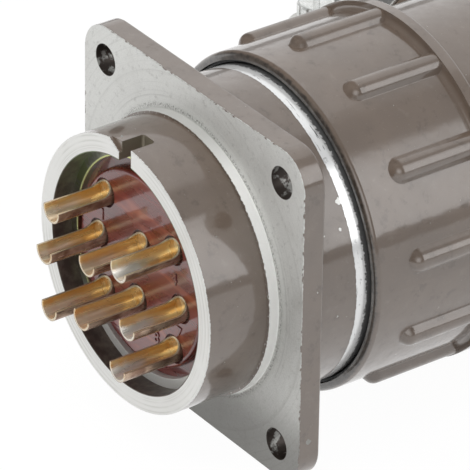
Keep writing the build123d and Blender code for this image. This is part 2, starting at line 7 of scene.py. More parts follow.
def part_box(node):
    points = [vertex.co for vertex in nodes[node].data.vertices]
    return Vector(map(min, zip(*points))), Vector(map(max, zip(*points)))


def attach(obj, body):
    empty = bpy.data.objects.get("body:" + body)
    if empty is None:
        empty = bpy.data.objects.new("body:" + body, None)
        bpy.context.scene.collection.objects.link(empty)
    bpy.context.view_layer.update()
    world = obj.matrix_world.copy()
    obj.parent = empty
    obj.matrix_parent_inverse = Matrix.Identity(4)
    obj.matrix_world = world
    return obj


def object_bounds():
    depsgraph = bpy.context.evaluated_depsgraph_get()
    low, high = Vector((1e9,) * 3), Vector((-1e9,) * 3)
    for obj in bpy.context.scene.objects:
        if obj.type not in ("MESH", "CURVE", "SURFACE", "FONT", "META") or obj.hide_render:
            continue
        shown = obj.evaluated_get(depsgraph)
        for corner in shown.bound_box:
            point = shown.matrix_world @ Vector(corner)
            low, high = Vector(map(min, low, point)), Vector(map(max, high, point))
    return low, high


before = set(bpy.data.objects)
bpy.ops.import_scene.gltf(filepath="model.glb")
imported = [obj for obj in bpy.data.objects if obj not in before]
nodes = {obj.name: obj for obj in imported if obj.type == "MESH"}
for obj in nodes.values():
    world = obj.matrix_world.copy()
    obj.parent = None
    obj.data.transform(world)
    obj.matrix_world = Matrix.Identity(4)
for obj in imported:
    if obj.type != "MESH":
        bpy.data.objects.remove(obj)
cad_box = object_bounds()
scene = bpy.context.scene

MM = 0.001

# Places on the connector, in millimetres along its axis (+Y) or out from it
flange_side = 24.9
hole_place = 20.0
hole_radius = 2.25
land_bare = 1.45
land_radius = 19.85
rear_end = -10.8
rear_radius = 19.55
rear_bore = 16.9
slot_middle = 0.1
slot_half_width = 1.35
slot_end = -6.9
paint_end = 10.95
nut_lip = 13.0
nut_turned_in = 23.2
thread_start = 35.7
outlet_thread_start = -25.6
plateau_face = -8.3
ring_inner = 15.5
ring_face = -7.7
cup_inner = 1.5
cup_outer = 1.8
cup_near_tip = -14.5
cup_middle = -11.0
# Silver and a painted highlight low in the cups: a larger share on these cups than on the rest
silver_and_highlight_cups = (4, 7, 8)
silver_and_highlight_share = 0.9
highlight_share = 0.4

# Where a tone fades in: from and to, along X or Z in millimetres
# Painted highlight: the land whiter towards +X
land_highlight_x = (2.0, 13.0)
# Painted highlight towards the mounting face's top, and painted shade towards its lowest corner
face_highlight_z = (-2.0, 12.0)
face_shade_z = (-10.0, -21.0)
bore_green_z = (2.0, 14.0)
# Painted silver reflection towards the snap rings' bottom
ring_reflection_z = (-6.0, -13.0)

# The receptacle's bare metal: how metallic it is where glossy, matt or polished, how rough its
# plated band is, and how far it lies under the paint
glossy_share = 0.96
matt_share = 0.3
land_share = 0.05
band_roughness = 0.16
paint_step = 1.2

# The dark walls of the bore, the slot and the holes
dull_share = 0.5
dull_roughness = 0.4

# Threads, drawn as rings: their pitch, and how far they stand over the surface's own grain
coarse_pitch = 1.0
screw_pitch = 0.5
thread_rise = 12.0

# Paint chips seen in the photo: place and size
chips = (((18.15, 10.71, 12.88), 0.5), ((24.9, 1.58, -17.69), 0.42), ((19.98, 9.68, 9.8), 0.25))

# Raised numbers on the contact block, as (X, Z)
number_places = (
    (-8.6, 4.2), (-9.0, -2.9), (0.3, -0.2), (8.05, 2.35),
    (-7.0, -10.6), (-0.5, -8.9), (9.2, -5.3), (4.1, -8.6),
)
number_height = 2.4
number_relief = 0.1
number_bevel = 0.04

# Camera: measured from the flange, its holes and the barrel's edges in the photo
camera_azimuth = 53.76
camera_elevation = 30.62
camera_roll = -0.89
camera_distance = 0.70546
camera_aim = Vector((2.583, 5.415, 1.887)) * MM
camera_lens = 405.0
camera_sensor = 36.0
camera_near = 0.01
camera_far = 20.0

# Light levels: what matt surfaces get from the room, and what gloss shows of it
room_level = 0.5
left_level = 1.0
right_level = 2.4
gap_level = 0.5
front_level = 0.12
lamp_level = 1.8
horizon_level = 0.3

# Where those parts of the room lie, as directions on a sphere of radius 1
gap_left = 0.04
gap_right = 0.49
front_edge = 0.34
lamp_direction = (0.77, -0.5, 0.38)
lamp_reach = 0.38
horizon_edge = 0.055

# Floor, in metres, and how much of its own white the camera and glossy surfaces see
floor_gap = 0.2 * MM
floor_radius = 0.55
floor_corners = 96
floor_camera_share = 0.95
floor_gloss_share = 0.85
floor_glow = 1.02
floor_white = (0.9, 0.9, 0.9, 1)
floor_roughness = 0.9

# Noise textures keep mostly between these two values
noise_low = 0.3
noise_high = 0.7

enamel_gloss = {"coat": 1.0, "coat_roughness": 0.09, "coat_ior": 1.7}


def srgb(red, green, blue):
    """A colour written as it looks on a screen, 0 to 255, as linear light."""

    def linear(value):
        value /= 255
        return value / 12.92 if value <= 0.04045 else ((value + 0.055) / 1.055) ** 2.4

    return (linear(red), linear(green), linear(blue), 1.0)


# Enamel, its chips and dust, and the painted shade inside the nut's lip
enamel_deep = srgb(107, 93, 82)
enamel_pale = srgb(115, 100, 88)
enamel_dark_patch = srgb(88, 76, 66)
enamel_light_patch = srgb(140, 129, 119)
enamel_dust = srgb(160, 150, 142)
chip_metal = srgb(190, 188, 182)
# Painted shade inside the nut's lip, dark and brown
lip_shade_dark = srgb(48, 42, 38)
lip_shade_brown = srgb(84, 76, 68)

# Bare turned metal
metal_grey = srgb(188, 188, 184)
metal_pale = srgb(214, 214, 211)
metal_ring = srgb(220, 221, 218)
metal_band = srgb(166, 165, 160)
metal_haze = srgb(160, 158, 152)
metal_dirt = srgb(112, 108, 101)
metal_pit = srgb(138, 134, 126)
end_bright = srgb(238, 238, 235)
end_grey = srgb(216, 216, 211)
land_grey = srgb(200, 200, 196)
# The land's grey, and its painted highlight
land_painted_highlight = srgb(255, 255, 252)
# Painted highlight and painted shade on the mounting face, its arcs and smudges, and darker specks round
# the land
face_painted_highlight = srgb(250, 251, 248)
face_arc = srgb(136, 135, 130)
face_smudge = srgb(128, 126, 120)
face_painted_shade = srgb(104, 102, 98)
corner_specks = srgb(74, 70, 64)
band_bright = srgb(250, 251, 251)
# Black for the band's scratches and for its painted shade next to the seal
scratch_and_shade_black = srgb(52, 50, 50)

# Holes, bore and slot
hole_dark = srgb(66, 58, 53)
hole_metal = srgb(172, 172, 168)
chromate_dark = srgb(84, 74, 70)
chromate_brown = srgb(112, 103, 94)
chromate_green = srgb(112, 124, 94)
chromate_slot = srgb(134, 126, 110)

# Contact block and contacts
phenolic_deep = srgb(98, 30, 28)
phenolic_red = srgb(124, 46, 36)
phenolic_streak = srgb(160, 84, 58)
phenolic_haze = srgb(132, 62, 50)
gold_deep = srgb(238, 196, 126)
gold_pale = srgb(255, 238, 194)
gold_orange = srgb(226, 150, 82)
# Silver and a painted highlight low in the cups
cup_silver_and_highlight = srgb(252, 250, 246)
cup_brown = srgb(134, 102, 84)
cup_tan = srgb(194, 168, 146)
cup_rim = srgb(196, 186, 166)

# Rings, springs, screws and clamp
ring_dark = srgb(132, 132, 120)
ring_pale = srgb(170, 172, 158)
ring_green = srgb(140, 150, 110)
# Painted silver reflection low on the snap rings, and a painted yellow-green glint along the inner edge
ring_painted_reflection = srgb(214, 214, 210)
ring_painted_glint = srgb(232, 238, 172)
spring_dark = srgb(120, 120, 118)
spring_pale = srgb(176, 176, 172)
zinc_grey = srgb(214, 216, 213)
zinc_bright = srgb(242, 243, 241)
nickel_grey = srgb(206, 205, 200)
nickel_pale = srgb(232, 232, 229)
nickel_dirt = srgb(146, 142, 134)

# Rubber
seal_dark = srgb(44, 44, 43)
seal_pale = srgb(70, 72, 72)
wiper_dark = srgb(50, 52, 54)
wiper_pale = srgb(92, 97, 101)
bushing_dark = srgb(26, 26, 25)
bushing_pale = srgb(46, 45, 43)
rubber_dust = srgb(104, 102, 98)
rubber_black = srgb(34, 32, 31)


class Nodes:
    """Short calls that each add a shader node and give back its output."""

    def __init__(self, tree):
        self.tree = tree

    def put(self, value, socket):
        if isinstance(value, bpy.types.NodeSocket):
            self.tree.links.new(value, socket)
        else:
            socket.default_value = value

    def split(self, vector):
        node = self.tree.nodes.new("ShaderNodeSeparateXYZ")
        self.put(vector, node.inputs[0])
        return node.outputs

    def join(self, x, y, z):
        node = self.tree.nodes.new("ShaderNodeCombineXYZ")
        for value, socket in zip((x, y, z), node.inputs):
            self.put(value, socket)
        return node.outputs[0]

    def math(self, operation, first, second=0.0):
        node = self.tree.nodes.new("ShaderNodeMath")
        node.operation = operation
        self.put(first, node.inputs[0])
        self.put(second, node.inputs[1])
        return node.outputs[0]

    def add(self, first, second):
        return self.math("ADD", first, second)

    def times(self, first, second):
        return self.math("MULTIPLY", first, second)

    def either(self, first, *others):
        for other in others:
            first = self.math("MAXIMUM", first, other)
        return first

    def opposite(self, mask):
        return self.math("SUBTRACT", 1.0, mask)

    def absolute(self, value):
        return self.math("ABSOLUTE", value)

    def length(self, vector):
        node = self.tree.nodes.new("ShaderNodeVectorMath")
        node.operation = "LENGTH"
        self.put(vector, node.inputs[0])
        return node.outputs["Value"]

    def noise(self, place, scale, detail=3.0, roughness=0.5, distortion=0.0):
        node = self.tree.nodes.new("ShaderNodeTexNoise")
        self.put(place, node.inputs["Vector"])
        node.inputs["Scale"].default_value = scale
        node.inputs["Detail"].default_value = detail
        node.inputs["Roughness"].default_value = roughness
        node.inputs["Distortion"].default_value = distortion
        return node.outputs["Fac"]

    def remap(self, value, low, high, out_low=0.0, out_high=1.0):
        node = self.tree.nodes.new("ShaderNodeMapRange")
        node.interpolation_type = "SMOOTHSTEP"
        self.put(value, node.inputs["Value"])
        node.inputs["From Min"].default_value = low
        node.inputs["From Max"].default_value = high
        node.inputs["To Min"].default_value = out_low
        node.inputs["To Max"].default_value = out_high
        return node.outputs["Result"]

    def above(self, value, edge, soft=0.05):
        return self.remap(value, edge - soft, edge + soft)

    def below(self, value, edge, soft=0.05):
        return self.remap(value, edge - soft, edge + soft, 1.0, 0.0)

    def between(self, value, low, high, soft=0.05):
        return self.times(self.above(value, low, soft), self.below(value, high, soft))

    def mix(self, factor, first, second):
        """Colours mixed by a factor."""
        node = self.tree.nodes.new("ShaderNodeMix")
        node.data_type = "RGBA"
        self.put(factor, node.inputs[0])
        self.put(first, node.inputs[6])
        self.put(second, node.inputs[7])
        return node.outputs[2]

    def blend(self, factor, first, second):
        """Numbers mixed by a factor."""
        node = self.tree.nodes.new("ShaderNodeMix")
        node.data_type = "FLOAT"
        self.put(factor, node.inputs[0])
        self.put(first, node.inputs[2])
        self.put(second, node.inputs[3])
        return node.outputs[0]

    def tint(self, color, tone, mask, share=1.0):
        """The colour, with a share of a tone over it where the mask is."""
        return self.mix(self.times(mask, share), color, tone)

    def varied(self, texture, dark, light, low=noise_low, high=noise_high):
        """A colour that goes from dark to light with a texture."""
        return self.mix(self.remap(texture, low, high), dark, light)

    def roughened(self, texture, least, most, low=noise_low, high=noise_high):
        """A roughness that goes from least to most with a texture."""
        return self.remap(texture, low, high, least, most)


class Surface(Nodes):
    """One node material, with the place on the part in millimetres."""

    def __init__(self, name, metallic=0.0, roughness=0.5, coat=0.0, coat_roughness=0.1, coat_ior=1.5):
        self.material = bpy.data.materials.new(name)
        self.material.use_nodes = True
        super().__init__(self.material.node_tree)
        self.shader = self.tree.nodes["Principled BSDF"]
        self.shader.inputs["Metallic"].default_value = metallic
        self.shader.inputs["Roughness"].default_value = roughness
        self.shader.inputs["Coat Weight"].default_value = coat
        self.shader.inputs["Coat Roughness"].default_value = coat_roughness
        self.shader.inputs["Coat IOR"].default_value = coat_ior
        coordinates = self.tree.nodes.new("ShaderNodeTexCoord")
        scaled = self.tree.nodes.new("ShaderNodeVectorMath")
        scaled.operation = "SCALE"
        scaled.inputs["Scale"].default_value = 1 / MM
        self.tree.links.new(coordinates.outputs["Object"], scaled.inputs[0])
        self.place = scaled.outputs["Vector"]
        self.x, self.y, self.z = self.split(self.place)

    def radius(self, x=0.0, z=0.0):
        """Distance from the line along Y through x, z."""
        return self.length(self.join(self.add(self.x, -x), 0.0, self.add(self.z, -z)))

    def stretched(self, x, y, z):
        """The place with each axis scaled, so that a texture runs longer along one of them."""
        node = self.tree.nodes.new("ShaderNodeVectorMath")
        node.operation = "MULTIPLY"
        self.put(self.place, node.inputs[0])
        node.inputs[1].default_value = (x, y, z)
        return node.outputs["Vector"]

    def grain(self, scale, detail=3.0, roughness=0.5, distortion=0.0):
        return self.noise(self.place, scale, detail, roughness, distortion)

    def rings(self, radius, scale, detail, roughness):
        """A texture that changes with the radius alone, as turning leaves it."""
        place = self.join(self.times(radius, scale), 0.0, 0.0)
        return self.noise(place, scale=1.0, detail=detail, roughness=roughness)

    def threads(self, along, pitch):
        """Rings of one thread, along the coordinate given."""
        return self.math("PINGPONG", self.times(along, 2 / pitch), 1.0)

    def spot(self, centre, size):
        """A ragged spot round one place."""
        node = self.tree.nodes.new("ShaderNodeVectorMath")
        node.operation = "DISTANCE"
        self.put(self.place, node.inputs[0])
        node.inputs[1].default_value = centre
        ragged = self.add(self.grain(scale=2.4, detail=3.0, roughness=0.6), -0.5)
        ragged = self.times(ragged, size * 1.8)
        return self.below(self.add(node.outputs["Value"], ragged), size, soft=0.04)

    def finish(self, color, roughness=None, metallic=None, height=None, depth=0.02, edge_round=0.1):
        self.put(color, self.shader.inputs["Base Color"])
        if roughness is not None:
            self.put(roughness, self.shader.inputs["Roughness"])
        if metallic is not None:
            self.put(metallic, self.shader.inputs["Metallic"])
        bevel = self.tree.nodes.new("ShaderNodeBevel")
        bevel.samples = 4
        bevel.inputs["Radius"].default_value = edge_round * MM
        normal = bevel.outputs["Normal"]
        if height is not None:
            bump = self.tree.nodes.new("ShaderNodeBump")
            bump.inputs["Strength"].default_value = 1.0
            bump.inputs["Distance"].default_value = depth * MM
            self.put(height, bump.inputs["Height"])
            self.put(normal, bump.inputs["Normal"])
            normal = bump.outputs["Normal"]
        self.put(normal, self.shader.inputs["Normal"])
        self.put(normal, self.shader.inputs["Coat Normal"])
        return self.material


def enamel_layer(surface):
    """Gloss grey-brown enamel with a little haze and dust: colour, roughness and height."""
    cloud = surface.grain(scale=0.12, detail=4.0, roughness=0.55)
    fine = surface.grain(scale=2.2, detail=3.0, roughness=0.6)
    mottle = surface.grain(scale=0.42, detail=6.0, roughness=0.68)
    orange_peel = surface.grain(scale=0.5, detail=2.0, roughness=0.5)
    speck = surface.above(surface.grain(scale=4.5, detail=2.0, roughness=0.5), 0.72, soft=0.02)
    color = surface.varied(cloud, enamel_deep, enamel_pale)
    color = surface.tint(color, enamel_dark_patch, surface.remap(mottle, 0.55, 0.68), 0.6)
    color = surface.tint(color, enamel_light_patch, surface.below(mottle, 0.36, soft=0.06), 0.2)
    color = surface.tint(color, enamel_dust, speck, 0.35)
    roughness = surface.roughened(mottle, 0.3, 0.46, low=0.35)
    height = surface.add(orange_peel, surface.times(fine, 0.1))
    return color, roughness, height


def chip_mask(surface):
    """Paint chips: the ones in the photo, and a few scattered pinpricks."""
    pinpricks = surface.above(surface.grain(scale=1.1, detail=4.0, roughness=0.6), 0.72, soft=0.01)
    in_places = surface.above(surface.grain(scale=0.11, detail=2.0), 0.5, soft=0.05)
    mask = surface.times(pinpricks, in_places)
    for centre, size in chips:
        mask = surface.either(mask, surface.spot(centre, size))
    return mask


def enamel(name, painted_shade=None, thread_end=None):
    """Enamel all over, with chips and, where asked, with a painted shade or with a thread up to a place
    along X.
    """
    surface = Surface(name, **enamel_gloss)
    color, roughness, height = enamel_layer(surface)
    if thread_end is not None:
        threaded = surface.below(surface.x, thread_end, soft=0.1)
        ridges = surface.times(surface.threads(surface.x, coarse_pitch), thread_rise)
        height = surface.blend(threaded, height, ridges)
    pricks = chip_mask(surface)
    color = surface.mix(pricks, color, chip_metal)
    if painted_shade is not None:
        # Painted shade, where asked
        worn_or_shaded, tone = painted_shade(surface)
        color = surface.mix(worn_or_shaded, color, tone)
    height = surface.add(height, surface.times(pricks, -0.5))
    return surface.finish(color, roughness, surface.times(pricks, 0.9), height)


def nut_wear(surface):
    """Painted shade where the nut's lip turns in over the seal: where it is, and its colour."""
    lip_noise = surface.grain(scale=1.1, detail=4.0, roughness=0.65)
    out = surface.add(surface.radius(), surface.times(lip_noise, 0.4))
    turned_in = surface.below(out, nut_turned_in + 0.75, soft=0.15)
    lip = surface.below(surface.add(surface.y, surface.times(lip_noise, 0.5)), nut_lip + 0.9, soft=0.2)
    tone = surface.varied(lip_noise, lip_shade_dark, lip_shade_brown, 0.35, 0.65)
    return surface.times(surface.times(lip, turned_in), 0.95), tone


def machined_layer(surface, radius):
    """Bare turned aluminium, with fine rings, smudges and short scratches: colour, roughness and height."""
    rings = surface.rings(radius, scale=5.0, detail=4.0, roughness=0.7)
    bands = surface.rings(radius, scale=0.9, detail=3.0, roughness=0.6)
    cloud = surface.grain(scale=0.13, detail=5.0, roughness=0.6)
    grain = surface.grain(scale=5.0, detail=3.0, roughness=0.7)
    color = surface.varied(grain, metal_grey, metal_pale)
    color = surface.tint(color, metal_ring, surface.remap(rings, 0.4, 0.7), 0.3)
    color = surface.tint(color, metal_band, surface.remap(bands, 0.5, 0.7), 0.35)
    color = surface.tint(color, metal_haze, surface.remap(cloud, 0.45, 0.75), 0.45)
    along = surface.join(surface.times(radius, 4.0), surface.times(surface.x, 0.5),
                         surface.times(surface.z, 0.5))
    marks = surface.above(surface.noise(along, scale=1.0, detail=3.0, roughness=0.6), 0.71, soft=0.03)
    smudge = surface.above(surface.grain(scale=1.3, detail=6.0, roughness=0.78), 0.66, soft=0.04)
    dirt = surface.either(surface.times(marks, 0.3), surface.times(smudge, 0.5))
    color = surface.mix(dirt, color, metal_dirt)
    mixed = surface.add(surface.times(rings, 0.5), surface.times(grain, 0.5))
    roughness = surface.roughened(mixed, 0.4, 0.55)
    height = surface.add(surface.times(rings, 0.4), surface.times(grain, 0.6))
    return color, roughness, height


def bare_zones(surface, ragged):
    """Where the receptacle is bare: the mounting face, the barrel's end and the band before the nut."""
    along = surface.add(surface.y, surface.times(ragged, 0.45))
    rear_face = surface.between(along, -land_bare, 0.14, soft=0.03)
    barrel_end = surface.below(along, rear_end + 0.12, soft=0.02)
    front_band = surface.above(along, paint_end, soft=0.04)
    to_side = surface.either(surface.absolute(surface.x), surface.absolute(surface.z))
    uneven = surface.times(surface.grain(scale=0.7, detail=6.0, roughness=0.7), 2.2)
    creep = surface.above(surface.add(to_side, uneven), flange_side + 1.2, soft=0.04)
    return surface.times(rear_face, surface.opposite(creep)), barrel_end, front_band


def polish(surface, color, radius, barrel_end, land):
    """Bright metal with small pits where handling rubs it at the barrel's end and the land at the flange,
    and a painted highlight on the land that grows towards +X.
    """
    turned = surface.remap(surface.rings(radius, scale=3.0, detail=2.0, roughness=0.6), 0.45, 0.65)
    turned = surface.times(turned, surface.remap(surface.grain(scale=0.16, detail=2.0), 0.35, 0.6))
    color = surface.tint(color, surface.mix(turned, end_bright, end_grey), barrel_end, 0.85)
    # Painted highlight: the land whiter towards +X
    land_tone = surface.mix(surface.remap(surface.x, *land_highlight_x), land_grey, land_painted_highlight)
    color = surface.tint(color, land_tone, land, 0.95)
    pits = surface.above(surface.grain(scale=2.6, detail=4.0, roughness=0.7), 0.7, soft=0.02)
    return surface.tint(color, metal_pit, pits, surface.blend(land, 0.3, 0.12))


def face_shades(surface, color, radius, ragged):
    """The mounting face: a painted highlight towards its top, arcs, smudges, a painted shade towards its
    lowest corner, and darker specks round the land.
    """
    on_face = surface.above(radius, land_radius + 0.3, soft=0.1)
    level = surface.add(surface.z, surface.times(ragged, 3.0))
    # Painted highlight: the face paler towards its top
    high = surface.remap(level, *face_highlight_z, 0.0, 0.38)
    arcs = surface.rings(radius, scale=1.6, detail=4.0, roughness=0.7)
    arcs = surface.times(surface.remap(arcs, 0.52, 0.66, 0.0, 0.4),
                         surface.remap(surface.grain(scale=0.08, detail=2.0), 0.4, 0.6))
    smudge = surface.remap(surface.grain(scale=0.9, detail=7.0, roughness=0.78), 0.52, 0.66, 0.0, 0.3)
    # Painted shade: the face darker towards its lowest corner
    low = surface.remap(level, *face_shade_z, 0.0, 0.7)
    for mask, tone in ((high, face_painted_highlight), (arcs, face_arc), (smudge, face_smudge), (low, face_painted_shade)):
        color = surface.tint(color, tone, mask, on_face)
    # Darker specks in the corner round the land
    corner = surface.between(radius, land_radius + 0.25, land_radius + 0.8, soft=0.2)
    specks = surface.above(surface.grain(scale=3.4, detail=6.0, roughness=0.8), 0.53, soft=0.04)
    return surface.tint(color, corner_specks, surface.times(corner, specks), 0.8)


def band_wear(surface, color, front_band, ragged):
    """The plated band before the nut: bright, with black scratches and smudges, and a painted shade next to
    the seal.
    """
    round_the_band = surface.stretched(x=0.22, y=3.2, z=0.22)
    scratches = surface.noise(round_the_band, scale=1.0, detail=4.0, roughness=0.7)
    scratches = surface.times(surface.above(scratches, 0.64, soft=0.015), front_band)
    rubbed = surface.above(surface.grain(scale=0.45, detail=6.0, roughness=0.72), 0.64, soft=0.04)
    rubbed = surface.times(rubbed, front_band)
    # Painted shade: the band darkened next to the nut's seal
    seal_shade = surface.between(surface.add(surface.y, surface.times(ragged, 1.6)),
                              nut_lip - 0.45, nut_lip + 1.5, soft=0.12)
    dark = surface.either(scratches, surface.times(rubbed, 0.6), surface.times(seal_shade, 0.85))
    color = surface.tint(color, band_bright, front_band, 0.95)
    return surface.mix(dark, color, scratch_and_shade_black)


def hole_walls(surface):
    """The bolt holes' walls, dark with a trace of bare metal: where they are, and their colour."""
    to_hole = surface.join(surface.add(surface.absolute(surface.x), -hole_place), 0.0,
                           surface.add(surface.absolute(surface.z), -hole_place))
    walls = surface.below(surface.length(to_hole), hole_radius + 0.04, soft=0.02)
    trace = surface.above(surface.grain(scale=0.5, detail=4.0, roughness=0.6), 0.57, soft=0.04)
    return walls, surface.mix(trace, hole_dark, hole_metal)


def bore_walls(surface, radius):
    """The bore and the slot, in dark chromate, greener near the top: where they are, and their colour."""
    bore = surface.below(radius, rear_bore + 0.12, soft=0.05)
    from_slot = surface.absolute(surface.add(surface.x, -slot_middle))
    slot = surface.times(surface.below(from_slot, slot_half_width + 0.05, soft=0.03),
                         surface.below(surface.y, slot_end + 0.05, soft=0.03))
    slot = surface.times(slot, surface.times(surface.above(surface.z, 0.0, soft=0.1),
                                             surface.below(radius, rear_radius - 0.05, soft=0.03)))
    greener = surface.times(surface.remap(surface.z, *bore_green_z),
                            surface.remap(surface.grain(scale=0.4, detail=4.0, roughness=0.6), 0.3, 0.6))
    cloud = surface.grain(scale=0.7, detail=4.0, roughness=0.6)
    color = surface.varied(cloud, chromate_dark, chromate_brown, low=0.35)
    color = surface.mix(greener, color, chromate_green)
    color = surface.mix(slot, color, chromate_slot)
    return surface.either(bore, slot), color


def receptacle_finish():
    """Enamel, with bare metal at the mounting face, the barrel's end and the band before the nut."""
    surface = Surface("receptacle_enamel_and_metal", **enamel_gloss)
    radius = surface.radius()
    ragged = surface.add(surface.grain(scale=2.6, detail=4.0, roughness=0.65), -0.5)
    paint_color, paint_rough, paint_height = enamel_layer(surface)
    metal_color, metal_rough, metal_height = machined_layer(surface, radius)
    rear_face, barrel_end, front_band = bare_zones(surface, ragged)
    land = surface.times(surface.below(radius, land_radius + 0.1, soft=0.04), rear_face)
    bare = surface.either(rear_face, barrel_end, front_band, chip_mask(surface))
    metal_color = polish(surface, metal_color, radius, barrel_end, land)
    metal_color = face_shades(surface, metal_color, radius, ragged)
    metal_color = band_wear(surface, metal_color, front_band, ragged)
    metal_rough = surface.blend(front_band, metal_rough, band_roughness)
    metal_height = surface.add(surface.times(metal_height, 0.5), -paint_step)
    hole, hole_color = hole_walls(surface)
    inside, inside_color = bore_walls(surface, radius)
    dull = surface.either(inside, hole)

    color = surface.mix(bare, paint_color, metal_color)
    color = surface.mix(hole, color, hole_color)
    color = surface.mix(inside, color, inside_color)
    matt = surface.either(barrel_end, surface.times(land, 1.4), surface.times(rear_face, 0.75),
                          surface.times(front_band, 0.85))
    share = surface.blend(land, surface.blend(matt, glossy_share, matt_share), land_share)
    metallic = surface.blend(dull, surface.times(bare, share), dull_share)
    roughness = surface.blend(dull, surface.blend(bare, paint_rough, metal_rough), dull_roughness)
    height = surface.blend(bare, paint_height, metal_height)
    surface.put(surface.opposite(surface.either(bare, dull)), surface.shader.inputs["Coat Weight"])
    return surface.finish(color, roughness, metallic, height)


def phenolic():
    """Glossy deep red-brown moulding with soft orange-brown flow streaks."""
    surface = Surface("phenolic", coat=1.0, coat_roughness=0.06)
    along_the_flow = surface.stretched(x=0.35, y=1.0, z=1.6)
    flow = surface.noise(along_the_flow, scale=0.3, detail=3.0, roughness=0.5, distortion=0.8)
    fine = surface.grain(scale=2.0, detail=2.0, roughness=0.5)
    color = surface.varied(flow, phenolic_deep, phenolic_red)
    color = surface.tint(color, phenolic_streak, surface.above(flow, 0.64, soft=0.07), 0.55)
    color = surface.tint(color, phenolic_haze, surface.remap(fine, 0.55, 0.8), 0.15)
    roughness = surface.roughened(flow, 0.24, 0.34)
    return surface.finish(color, roughness, height=surface.add(flow, surface.times(fine, 0.03)))


def contact_finish(name, x, z, silver_and_highlight):
    """Pale gold in the cup, silver and a painted highlight low in it, a thin rim and a browner outside."""
    surface = Surface(name, metallic=0.68)
    radius = surface.radius(x, z)
    along_the_cup = surface.stretched(x=0.9, y=0.1, z=0.9)
    streak = surface.noise(along_the_cup, scale=1.0, detail=2.0, roughness=0.5, distortion=0.2)
    cloud = surface.grain(scale=0.45, detail=3.0, roughness=0.55)
    near_tip = surface.times(surface.below(surface.y, cup_near_tip, soft=2.0),
                             surface.remap(cloud, 0.4, 0.65))
    # Painted highlight, with silver on some cups, low in the cup's outer half
    low = surface.below(surface.add(surface.z, surface.times(cloud, 1.6)), z + 0.3, soft=0.5)
    outer_half = surface.below(surface.add(surface.y, surface.times(cloud, 3.0)), cup_middle, soft=1.2)
    low = surface.times(low, outer_half)
    behind = surface.below(surface.y, plateau_face + 1.0, soft=0.4)
    outside = surface.times(surface.above(radius, cup_outer - 0.05, soft=0.02), behind)
    rim = surface.times(surface.between(radius, cup_inner + 0.05, cup_outer - 0.04, soft=0.03), behind)
    color = surface.varied(streak, gold_deep, gold_pale)
    color = surface.tint(color, gold_orange, near_tip, 0.4)
    color = surface.tint(color, cup_silver_and_highlight, low, silver_and_highlight)
    color = surface.mix(outside, color, surface.varied(cloud, cup_brown, cup_tan, 0.35, 0.65))
    color = surface.tint(color, cup_rim, rim, 0.7)
    roughness = surface.roughened(streak, 0.18, 0.32)
    return surface.finish(color, roughness, height=streak, depth=0.003, edge_round=0.12)


def snap_ring_finish():
    """Dull chromate, with a painted silver reflection at the bottom and a painted yellow-green glint along
    the ring's inner edge.
    """
    surface = Surface("chromated_steel", metallic=1.0)
    cloud = surface.grain(scale=0.8, detail=4.0, roughness=0.65)
    # Painted reflection: silver and less metallic towards the bottom
    low = surface.remap(surface.z, *ring_reflection_z)
    to_edge = surface.length(surface.join(surface.add(surface.radius(), -ring_inner), 0.0,
                                          surface.add(surface.y, -ring_face)))
    # Painted glint along the ring's inner edge
    edge = surface.times(surface.below(to_edge, 0.22, soft=0.05), surface.opposite(low))
    color = surface.varied(cloud, ring_dark, ring_pale)
    color = surface.mix(surface.remap(surface.grain(scale=0.3, detail=3.0), 0.45, 0.6), color, ring_green)
    color = surface.mix(low, color, ring_painted_reflection)
    color = surface.mix(edge, color, ring_painted_glint)
    roughness = surface.blend(edge, 0.3, 0.45)
    metallic = surface.blend(low, 1.0, 0.3)
    return surface.finish(color, roughness, metallic, cloud, depth=0.01, edge_round=0.15)


def spring_steel():
    """Plain grey steel."""
    surface = Surface("spring_steel", metallic=1.0)
    grain = surface.grain(scale=5.0, detail=3.0, roughness=0.6)
    color = surface.varied(surface.grain(scale=0.8, detail=4.0, roughness=0.65), spring_dark, spring_pale)
    roughness = surface.roughened(grain, 0.24, 0.42)
    return surface.finish(color, roughness, height=grain, depth=0.01, edge_round=0.08)


def rubber(name, dark, light, worn_or_shaded=0.0):
    """Matt rubber with dust, and with rubbed black patches where it is worn."""
    surface = Surface(name)
    cloud = surface.grain(scale=0.6, detail=4.0, roughness=0.6)
    grain = surface.grain(scale=7.0, detail=3.0, roughness=0.7)
    patches = surface.above(surface.grain(scale=1.6, detail=6.0, roughness=0.75), 0.56, soft=0.04)
    color = surface.varied(cloud, dark, light)
    color = surface.tint(color, rubber_dust, surface.above(grain, 0.68, soft=0.04), 0.5)
    color = surface.tint(color, rubber_black, patches, worn_or_shaded)
    return surface.finish(color, surface.roughened(cloud, 0.36, 0.6), height=grain, depth=0.03)


def plug_plating():
    """Turned and plated, with the thread at the rear end."""
    surface = Surface("plug_plating", metallic=1.0)
    color, roughness, height = machined_layer(surface, surface.radius())
    threaded = surface.above(surface.y, thread_start, soft=0.1)
    ridges = surface.times(surface.threads(surface.y, coarse_pitch), thread_rise)
    height = surface.blend(threaded, height, ridges)
    return surface.finish(color, roughness, height=height, depth=0.015)


def zinc_plate():
    """The screws' bright plate, with the thread below the head."""
    surface = Surface("zinc_plate", metallic=0.45)
    grain = surface.grain(scale=5.0, detail=3.0, roughness=0.6)
    color = surface.varied(surface.grain(scale=0.8, detail=4.0, roughness=0.65), zinc_grey, zinc_bright)
    threaded = surface.below(surface.z, 0.0, soft=0.1)
    ridges = surface.threads(surface.z, screw_pitch)
    height = surface.blend(threaded, surface.times(grain, 0.1), ridges)
    return surface.finish(color, surface.roughened(grain, 0.18, 0.3), height=height, depth=0.12)


